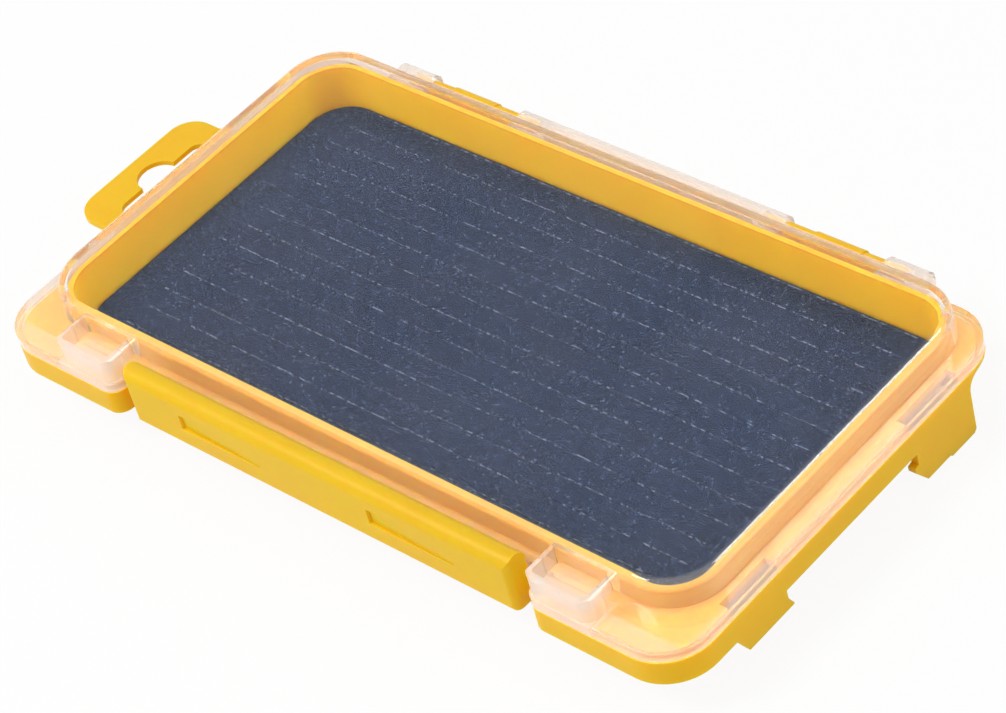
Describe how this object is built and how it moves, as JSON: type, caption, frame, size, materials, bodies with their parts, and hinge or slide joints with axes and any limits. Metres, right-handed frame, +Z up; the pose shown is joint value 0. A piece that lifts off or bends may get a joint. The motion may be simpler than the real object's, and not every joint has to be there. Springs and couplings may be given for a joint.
{
  "type": "fly box",
  "caption": "Slim fly box: opaque tray with a slit foam sheet, clear hinged lid, wide front latch that pivots on the lid, and a hang tab with a hanger slot.",
  "frame": {"origin": "middle of the tray's flat underside, which is the face that the box stands on", "axes": "+X along the case's length towards the end without the hang tab, +Y towards the rear hinge, +Z up through the lid"},
  "size_m": [0.1997, 0.1075, 0.0235],
  "materials": {
    "tray_plastic": "fine satin polypropylene, warm yellow",
    "latch_plastic": "fine satin polypropylene, warm yellow",
    "clear_plastic": "clear, slightly cloudy polypropylene",
    "foam": "closed-cell foam with fine grain and slits, dark blue-grey",
    "adhesive_film": "thin double-sided adhesive film"
  },
  "bodies": {
    "base": {"base_tray": "tray_plastic", "foam_sheet": "foam", "foam_film": "adhesive_film"},
    "lid": {"lid": "clear_plastic"},
    "latch": {"latch": "latch_plastic"}
  },
  "joints": [
    {"name": "lid_hinge", "type": "hinge", "parent": "base", "child": "lid", "pos_m": [0, 0.05, 0.0152], "axis": [-1, 0, 0], "range_deg": [0, 180]},
    {"name": "latch_hinge", "type": "hinge", "parent": "lid", "child": "latch", "pos_m": [0, -0.0515, 0.0201], "axis": [-1, 0, 0], "range_deg": [0, 80]}
  ]
}
